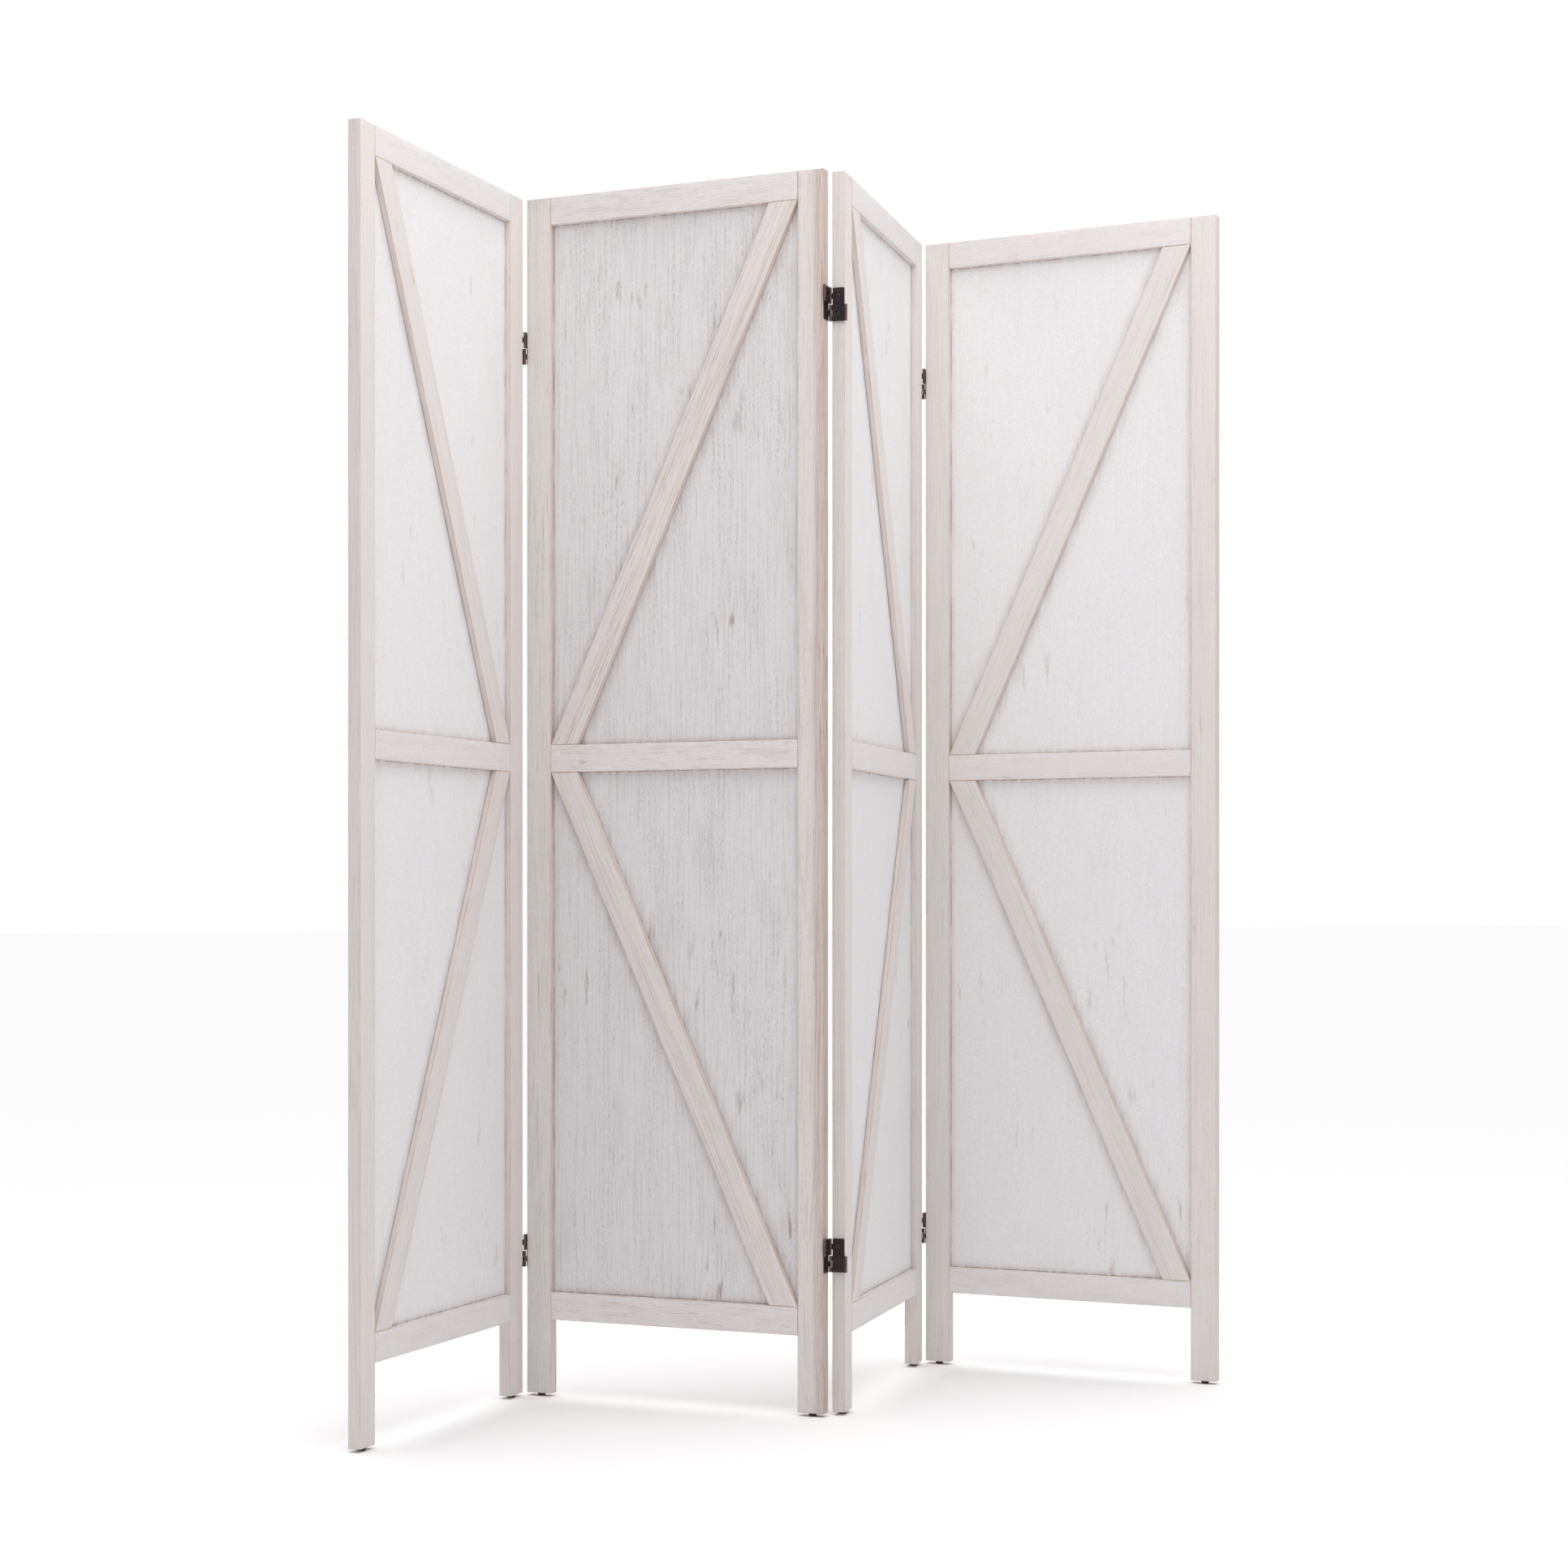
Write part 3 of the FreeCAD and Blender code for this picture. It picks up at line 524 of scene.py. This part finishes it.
    # noises for the nicks and the planed hollows, then for the bow, which is the same over a whole section
    noises = {}
    turn = addNode(tree, "ShaderNodeMath", {0: start["Seed"], 1: bar["seedShift"]}, operation="MULTIPLY")
    for label, (scale, ownShift) in bar["noises"].items():
        scaled = addNode(tree, "ShaderNodeVectorMath", {0: own, 1: scale}, operation="MULTIPLY")
        w = addNode(tree, "ShaderNodeMath", {0: turn, 1: ownShift}, operation="ADD")
        noises[label] = addNode(tree, "ShaderNodeTexNoise",
                                {"Vector": scaled, "W": w, "Scale": 1.0, "Detail": bar["noiseDetail"]},
                                noise_dimensions="4D")
    low, high = bar["nicks"]
    nick = addNode(tree, "ShaderNodeMapRange", {0: noises["nick"], 1: low, 2: high, 3: 0.0, 4: 1.0})
    nickHere = addNode(tree, "ShaderNodeMath", {0: nick, 1: arrisMask}, operation="MULTIPLY")
    cut = addNode(tree, "ShaderNodeMath", {0: nickHere, 1: start["Nick Depth"]}, operation="MULTIPLY")
    cut = addNode(tree, "ShaderNodeMath", {0: noises["hollow"], 1: start["Hollow"], 2: cut},
                  operation="MULTIPLY_ADD")
    inward = addNode(tree, "ShaderNodeMath", {0: cut, 1: -1.0}, operation="MULTIPLY")
    carve = addNode(tree, "ShaderNodeVectorMath", {0: facing, "Scale": inward}, operation="SCALE")
    worn = addNode(tree, "ShaderNodeVectorMath", {0: own, 1: carve}, operation="ADD")
    level = addNode(tree, "ShaderNodeSeparateXYZ", {0: own}).outputs[2]
    moves = []
    for label in ("bowX", "bowY"):
        centred = addNode(tree, "ShaderNodeMath", {0: noises[label], 1: bar["middle"]}, operation="SUBTRACT")
        moves.append(addNode(tree, "ShaderNodeMath", {0: centred, 1: start["Bow"]}, operation="MULTIPLY"))
    leaning = addNode(tree, "ShaderNodeMath", {0: level, 1: start["Lean"], 2: moves[0]},
                      operation="MULTIPLY_ADD")
    slide = addNode(tree, "ShaderNodeCombineXYZ", {0: leaning, 1: moves[1]})
    final = addNode(tree, "ShaderNodeVectorMath", {0: worn, 1: slide}, operation="ADD")
    shaped = addNode(tree, "GeometryNodeSetPosition", {"Geometry": geometry, "Position": final})
    for label in ("outward", "onArris"):
        shaped = addNode(tree, "GeometryNodeRemoveAttribute", {"Geometry": shaped, "Name": label})
    solid = addNode(tree, "GeometryNodeRealizeInstances", {0: shaped})
    done = addNode(tree, "GeometryNodeSetMaterial", {"Geometry": solid, "Material": start["Material"]})
    addNode(tree, "NodeGroupOutput", {0: done})
    return tree


# step is the spacing of the points along the length
memberSizes = {
    "stile": {"Across Points": 10, "Through Points": 8, "step": 4.2 * mm, "Arris": 0.7 * mm,
              "End Arris": 0.7 * mm, "Nick Depth": 1.6 * mm, "Bow": 0.5 * mm, "Hollow": 0.15 * mm},
    "rail": {"Across Points": 10, "Through Points": 8, "step": 4.2 * mm, "Arris": 0.6 * mm,
             "End Arris": 0.2 * mm, "Nick Depth": 1.2 * mm, "Bow": 0.2 * mm, "Hollow": 0.15 * mm},
    "brace": {"Across Points": 10, "Through Points": 7, "step": 4.2 * mm, "Arris": 0.7 * mm,
              "End Arris": 0.2 * mm, "Nick Depth": 1.4 * mm, "Bow": 0.2 * mm, "Hollow": 0.12 * mm},
    "board": {"Across Points": 50, "Through Points": 6, "step": 8.5 * mm, "Arris": 0.4 * mm,
              "End Arris": 0.4 * mm, "Nick Depth": 0.0, "Bow": 0.3 * mm, "Hollow": 0.35 * mm},
}
# how far the wash is rubbed back on each panel's frame and boards, and the members worn along one side
rubbedFrame = {"panel_1": 0.42, "panel_2": 0.92, "panel_3": 0.36, "panel_4": 0.42}
rubbedBoard = {"panel_1": 0.4, "panel_2": 2.0, "panel_3": 0.5, "panel_4": 0.45}
wornAlong = {"panel_2_right_stile": 1.0}
rubbedSpread = (0.9, 1.1)
seedRange = 10
boardLetIn = 1 * mm  # how far a board goes into the frame
member = memberTree()
luck = random.Random(7)


# local is where the member's middle goes in the panel's own place, with its length along z
def makeMember(panel, part, kind, width, thickness, length, local, **extra):
    node = panel + "_" + part
    sizes = memberSizes[kind]
    rubbed = rubbedBoard if kind == "board" else rubbedFrame
    values = {key: value for key, value in sizes.items() if key != "step"}
    values.update({"Width": width, "Thickness": thickness, "Length": length, "Material": woods[kind],
                   "Along Points": int(length / sizes["step"]) + bar["rimRows"] + 1,
                   "Seed": luck.random() * seedRange,
                   "Rubbed": rubbed[panel] * luck.uniform(*rubbedSpread),
                   "Worn Side": wornAlong.get(node, 0.0)})
    values.update(extra)
    mesh = grow(part, member, values)
    mesh.transform(places[panel] @ local)
    return finishPiece("wood_" + node, mesh, panel, [node])


lying = Matrix.Rotation(math.radians(90), 4, "Y")
for panel in panels:
    stileBoxes = [extent(localPoints(panel, panel + "_" + part)[0]) for part in ("left_stile", "right_stile")]
    for part, (low, high) in zip(("left_stile", "right_stile"), stileBoxes):
        size = high - low
        makeMember(panel, part, "stile", size.x, size.y, size.z, Matrix.Translation((low + high) / 2))
    left, right = stileBoxes[0][1].x, stileBoxes[1][0].x  # the opening between the stiles
    for part in ("top_rail", "middle_rail", "bottom_rail"):
        low, high = extent(localPoints(panel, panel + "_" + part)[0])
        centre = Vector(((left + right) / 2, (low.y + high.y) / 2, (low.z + high.z) / 2))
        makeMember(panel, part, "rail", high.z - low.z, high.y - low.y, right - left,
                   Matrix.Translation(centre) @ lying)
    for level in ("upper", "lower"):
        points = localPoints(panel, panel + "_" + level + "_brace")[0]
        low, high = extent(points)
        tops = [p.x for p in points if p.z > high.z - mm]
        feet = [p.x for p in points if p.z < low.z + mm]
        width = max(tops) - min(tops)
        lean = (min(tops) - min(feet)) / (high.z - low.z)
        makeMember(panel, level + "_brace", "brace", width, high.y - low.y, high.z - low.z,
                   Matrix.Translation((low + high) / 2), Lean=lean)
        low, high = extent(localPoints(panel, panel + "_" + level + "_board")[0])
        trim = (left - low.x) - boardLetIn
        makeMember(panel, level + "_board", "board", high.x - low.x - 2 * trim, high.y - low.y,
                   high.z - low.z - 2 * trim, Matrix.Translation((low + high) / 2),
                   **{"Brace Lean": lean, "Brace Half Width": width / 2})
    print(panel, "wood made")


# a turned solid from (radius, height) pairs in metres, from its foot on the axis to its top on the axis;
# carve says how far each point of the uppermost 0.1 mm goes down
def turnedMesh(name, outline, sides, carve=None):
    carveFrom = outline[-1][1] - 0.1 * mm
    shape = bmesh.new()
    rings = []
    for radius, height in outline:
        ring = []
        for i in range(sides if radius else 1):
            angle = 2 * math.pi * i / sides
            x, y = radius * math.cos(angle), radius * math.sin(angle)
            drop = carve(x, y) if carve and height > carveFrom else 0
            ring.append(shape.verts.new((x, y, height - drop)))
        rings.append(ring)
    for lower, upper in zip(rings, rings[1:]):
        for i in range(sides):
            j = (i + 1) % sides
            corners = [lower[i % len(lower)], lower[j % len(lower)],
                       upper[j % len(upper)], upper[i % len(upper)]]
            shape.faces.new(list(dict.fromkeys(corners)))
    bmesh.ops.recalc_face_normals(shape, faces=shape.faces)
    mesh = bpy.data.meshes.new(name)
    shape.to_mesh(mesh)
    shape.free()
    return mesh


# marks the faces of a turned shape that lie outside a radius and between two heights
def markWorn(mesh, radius, low, high):
    mark = mesh.attributes.new("wornEdge", "FLOAT", "FACE")
    for face in mesh.polygons:
        x, y, z = face.center
        mark.data[face.index].value = float(math.hypot(x, y) > radius and low < z < high)
    return mesh


# puts a copy of a shape on every point, its z turned to the point's facing
def placingTree():
    tree = newTree("placeOnPoints", [("Shape", "Object", None), ("Spin", "Float", 1.5), ("Seed", "Int", 4),
                                     ("Material", "Material", None)])
    start = tree.nodes.new("NodeGroupInput").outputs
    facing = addNode(tree, "GeometryNodeInputNamedAttribute", {0: "facing"}, data_type="FLOAT_VECTOR")
    turn = addNode(tree, "FunctionNodeAlignRotationToVector", {"Vector": facing}, axis="Z")
    angle = addNode(tree, "FunctionNodeRandomValue", {"Max": start["Spin"], "Seed": start["Seed"]},
                    data_type="FLOAT").outputs["Value"]
    spin = addNode(tree, "FunctionNodeAxisAngleToRotation", {"Axis": (0.0, 0.0, 1.0), "Angle": angle})
    both = addNode(tree, "FunctionNodeRotateRotation", {0: turn, 1: spin}, rotation_space="LOCAL")
    shape = addNode(tree, "GeometryNodeObjectInfo", {"Object": start["Shape"]}).outputs["Geometry"]
    placed = addNode(tree, "GeometryNodeInstanceOnPoints",
                     {"Points": start["Geometry"], "Instance": shape, "Rotation": both})
    solid = addNode(tree, "GeometryNodeRealizeInstances", {0: placed})
    done = addNode(tree, "GeometryNodeSetMaterial", {"Geometry": solid, "Material": start["Material"]})
    addNode(tree, "NodeGroupOutput", {0: done})
    return tree


placing = placingTree()


def placeShape(name, shapeMesh, spots, spin, material):
    points = bpy.data.meshes.new(name + "_spots")
    points.from_pydata([tuple(spot) for spot, facing in spots], [], [])
    facings = points.attributes.new("facing", "FLOAT_VECTOR", "POINT")
    for i, (spot, facing) in enumerate(spots):
        facings.data[i].vector = facing
    shape = bpy.data.objects.new(name + "_shape", shapeMesh)
    bpy.context.scene.collection.objects.link(shape)
    values = {"Shape": shape, "Spin": spin, "Seed": len(name), "Material": material}
    mesh = grow(name, placing, values, points)
    bpy.data.objects.remove(shape)
    return mesh


# raised countersunk wood screw with a cross recess; origin at the top of the head's rim
screw = {"sides": 24, "shank": 1.4 * mm, "headHeight": 0.7 * mm, "thread": 0.15 * mm, "pitch": 1.4 * mm,
         "tip": 0.35, "tipLength": 0.8 * mm, "threadFrom": 1.6 * mm, "threadTo": 0.9 * mm,
         "neck": 0.1 * mm, "coneInset": 0.35 * mm, "coneTop": 0.62, "rimTop": 0.4,
         "crown": 0.35, "crownRings": (0.94, 0.78, 0.58, 0.42, 0.28, 0.14),
         "crossReach": 1.45 * mm, "crossWidth": 0.36 * mm, "crossDepth": 0.5 * mm, "crossRise": 0.6,
         "wornFrom": 0.72, "spin": 1.5}


def crossRecess(x, y):
    near, far = sorted((abs(x), abs(y)))
    if far > screw["crossReach"] or near > screw["crossWidth"]:
        return 0
    return screw["crossDepth"] * (1 - screw["crossRise"] * far / screw["crossReach"])


def screwMesh(length, head):
    shank, headHeight = screw["shank"], screw["headHeight"]
    outline = [(0, -length), (screw["tip"] * shank, -length + screw["tipLength"])]
    height = -length + screw["threadFrom"]
    while height < -headHeight - screw["threadTo"]:
        outline += [(shank - screw["thread"], height), (shank, height + screw["pitch"] / 2)]
        height += screw["pitch"]
    outline += [(shank, -headHeight - screw["neck"]),
                (head - screw["coneInset"], -headHeight * screw["coneTop"]),
                (head, -headHeight * screw["rimTop"])]
    for share in screw["crownRings"]:
        outline.append((head * share, -screw["crown"] * headHeight * share ** 2))
    outline.append((0, 0))
    shape = turnedMesh("screw", outline, screw["sides"], crossRecess)
    return markWorn(shape, screw["wornFrom"] * head, -headHeight, 0.0)


# a turned foot under each leg, with its nail up inside the leg; bevelSteps are shares of the bevel, in and up
glide = {"sides": 40, "flat": 0.5, "bevel": 0.9 * mm, "bevelFrom": 1.6, "dish": 0.02 * mm,
         "bevelSteps": ((0.7, 0.25), (0.2, 0.65)), "crown": 0.35 * mm, "topInset": 0.25 * mm,
         "topDrop": 0.3 * mm, "nail": 1.1 * mm, "nailPoint": 1.5 * mm, "wornTo": 1.5, "spin": 6.0}


def glideMesh(radius, legFoot, nailTop):
    bevel = glide["bevel"]
    outline = [(0, 0), (radius * glide["flat"], 0), (radius - glide["bevelFrom"] * bevel, glide["dish"])]
    outline += [(radius - inward * bevel, upward * bevel) for inward, upward in glide["bevelSteps"]]
    outline += [(radius, bevel + glide["crown"]), (radius, legFoot - glide["topDrop"]),
                (radius - glide["topInset"], legFoot), (glide["nail"], legFoot),
                (glide["nail"], nailTop - glide["nailPoint"]), (0, nailTop)]
    shape = turnedMesh("glide", outline, glide["sides"])
    return markWorn(shape, 0.0, -mm, glide["wornTo"] * bevel)


for panel in panels:
    place = places[panel]
    legFoot = extent(localPoints(panel, panel + "_left_stile")[0])[0].z
    panelWidth = extent(localPoints(panel, panel + "_right_stile")[0])[1].x

    spots = []
    for points in localPoints(panel, panel + "_hinge_screws"):
        low, high = extent(points)
        onLeft = (low.x + high.x) / 2 < panelWidth / 2
        tip = Vector((low.x if onLeft else high.x, (low.y + high.y) / 2, (low.z + high.z) / 2))
        spots.append((place @ tip, place.to_3x3() @ Vector((-1 if onLeft else 1, 0, 0))))
    shape = screwMesh(high.x - low.x, (high.z - low.z) / 2)
    mesh = placeShape("screws", shape, spots, screw["spin"], screwBronze)
    finishPiece("screws_" + panel, mesh, panel, [panel + "_hinge_screws"])

    spots = []
    for points in localPoints(panel, panel + "_glides"):
        low, high = extent(points)
        under = Vector(((low.x + high.x) / 2, (low.y + high.y) / 2, low.z))
        spots.append((place @ under, Vector((0, 0, 1))))
    shape = glideMesh((high.x - low.x) / 2, legFoot, high.z)
    mesh = placeShape("glides", shape, spots, glide["spin"], nylon)
    finishPiece("glides_" + panel, mesh, panel, [panel + "_glides"])
print("screws and glides made")

# stamped hinge parts and pins: the CAD shape with its sharp edges broken, and a mark on edges and barrels
# (angles in degrees; faces smaller than wornFace, 5 square mm, are the edges and the barrels)
hinge = {"edge": 0.16 * mm, "pinEdge": 0.1 * mm, "edgeSteps": 2, "flatAngle": 0.5, "sharpAngle": 50,
         "creaseAngle": 18, "wornFace": 5 * mm * mm}


def brokenEdges(node, edge):
    shape = bmesh.new()
    shape.from_mesh(frame["nodes"][node].data)
    bmesh.ops.remove_doubles(shape, verts=shape.verts, dist=weld)
    bmesh.ops.dissolve_limit(shape, angle_limit=math.radians(hinge["flatAngle"]), verts=shape.verts,
                             edges=shape.edges)
    sharp = [e for e in shape.edges if len(e.link_faces) == 2 and
             e.calc_face_angle() > math.radians(hinge["sharpAngle"])]
    bmesh.ops.bevel(shape, geom=sharp, offset=edge, segments=hinge["edgeSteps"], profile=0.5,
                    affect="EDGES", clamp_overlap=True)
    mark = shape.faces.layers.float.new("wornEdge")
    for face in shape.faces:
        face[mark] = 1.0 if face.calc_area() < hinge["wornFace"] else 0.0
    bmesh.ops.triangulate(shape, faces=shape.faces)
    mesh = bpy.data.meshes.new(node)
    shape.to_mesh(mesh)
    shape.free()
    mesh.materials.append(bronze)
    return mesh


for body, nodes in frame["record"]["behaviour"]["bodies"].items():
    for node in sorted(nodes):
        if node.endswith(("_leaves", "_links")):
            finishPiece(node + "_plate", brokenEdges(node, hinge["edge"]), body, [node],
                        hinge["creaseAngle"])
        elif node.endswith("_hinge_pins"):
            finishPiece(node + "_pin", brokenEdges(node, hinge["pinEdge"]), body, [node],
                        hinge["creaseAngle"])
print("hinges made")


# pale floor, a wide soft light from straight above, and a soft box high up in front of and behind the screen
# for its upper half; sizes in metres, the overhead's angle in degrees
studio = {"floor": "#FBFAFA", "floorSize": 60.0, "gritScale": 40.0, "gritDetail": 2.0, "gritCut": (0.3, 0.7),
          "matt": (0.8, 0.9), "ambient": 0.378, "ambientTint": "#FBFBFF",
          "overheadStrength": 2.12, "overheadAngle": 70.0, "overheadHeight": 4.0,
          "boxTint": "#FFFDF9", "boxPower": 10.6, "boxSize": (2.4, 0.7), "boxHeight": 2.4, "boxAway": 0.95,
          "boxShift": 0.1, "boxAim": 1.3}

floorMesh = bpy.data.meshes.new("floor")
reach = studio["floorSize"]
floorMesh.from_pydata([(-reach, -reach, 0), (reach, -reach, 0), (reach, reach, 0), (-reach, reach, 0)], [],
                      [(0, 1, 2, 3)])
floor = bpy.data.objects.new("floor", floorMesh)
bpy.context.scene.collection.objects.link(floor)
paint = bpy.data.materials.new("matt_floor_paint")
paint.use_nodes = True
paintTree = paint.node_tree
paintTree.nodes.clear()
(gritLow, gritHigh), (mattLow, mattHigh) = studio["gritCut"], studio["matt"]
grit = addNode(paintTree, "ShaderNodeTexNoise",
               {"Scale": studio["gritScale"], "Detail": studio["gritDetail"]})
matt = addNode(paintTree, "ShaderNodeMapRange",
               {0: grit, 1: gritLow, 2: gritHigh, 3: mattLow, 4: mattHigh})
paintShader = addNode(paintTree, "ShaderNodeBsdfPrincipled",
                      {"Base Color": linear(studio["floor"]), "Roughness": matt, "Specular IOR Level": 0.2})
addNode(paintTree, "ShaderNodeOutputMaterial", {0: paintShader})
floorMesh.materials.append(paint)

world = bpy.data.worlds.new("studioWhite")
world.use_nodes = True
bpy.context.scene.world = world
worldTree = world.node_tree
worldTree.nodes.clear()
rays = addNode(worldTree, "ShaderNodeLightPath")
seen = rays.outputs["Is Camera Ray"]  # the background is seen white, and lights less
strength = addNode(worldTree, "ShaderNodeMapRange", {0: seen, 1: 0.0, 2: 1.0, 3: studio["ambient"], 4: 1.0})
skyTint = addNode(worldTree, "ShaderNodeMix", {0: seen, 6: linear(studio["ambientTint"]), 7: (1, 1, 1, 1)},
                  data_type="RGBA")
backdrop = addNode(worldTree, "ShaderNodeBackground", {"Color": skyTint.outputs[2], "Strength": strength})
addNode(worldTree, "ShaderNodeOutputWorld", {0: backdrop})

centre = (cadBounds[0][0] + cadBounds[1][0]) / 2, (cadBounds[0][1] + cadBounds[1][1]) / 2
overhead = bpy.data.lights.new("overhead", "SUN")
overhead.energy = studio["overheadStrength"]
overhead.angle = math.radians(studio["overheadAngle"])
overheadObject = bpy.data.objects.new("overhead", overhead)
overheadObject.location = (centre[0], centre[1], studio["overheadHeight"])
bpy.context.scene.collection.objects.link(overheadObject)
for label, side in (("frontBox", -1), ("backBox", 1)):
    softBox = bpy.data.lights.new(label, "AREA")
    softBox.energy = studio["boxPower"]
    softBox.color = linear(studio["boxTint"])[:3]
    softBox.shape = "RECTANGLE"
    softBox.size, softBox.size_y = studio["boxSize"]
    softBoxObject = bpy.data.objects.new(label, softBox)
    softBoxObject.location = (centre[0] + studio["boxShift"], centre[1] + side * studio["boxAway"],
                              studio["boxHeight"])
    aim = Vector((centre[0], centre[1], studio["boxAim"])) - softBoxObject.location
    softBoxObject.rotation_euler = aim.to_track_quat("-Z", "Y").to_euler()
    softBoxObject.visible_camera = False
    bpy.context.scene.collection.objects.link(softBoxObject)

# level camera a little to the left of the screen; turn in degrees, lens and sensor in mm
view = {"place": (-1.5802, -3.6860, 0.7033), "turn": -23.553, "lens": 64.93, "sensor": 36.0, "rise": 0.0745}
cameraData = bpy.data.cameras.new("camera")
cameraData.sensor_width = view["sensor"]
cameraData.lens = view["lens"]
cameraData.shift_y = view["rise"]
camera = bpy.data.objects.new("camera", cameraData)
camera.location = view["place"]
camera.rotation_euler = (math.radians(90), 0, math.radians(view["turn"]))
bpy.context.scene.collection.objects.link(camera)
bpy.context.scene.camera = camera
bpy.context.scene.view_settings.view_transform = "Standard"
bpy.context.scene.view_settings.look = "None"
print("studio made")

bpy.context.view_layer.update()
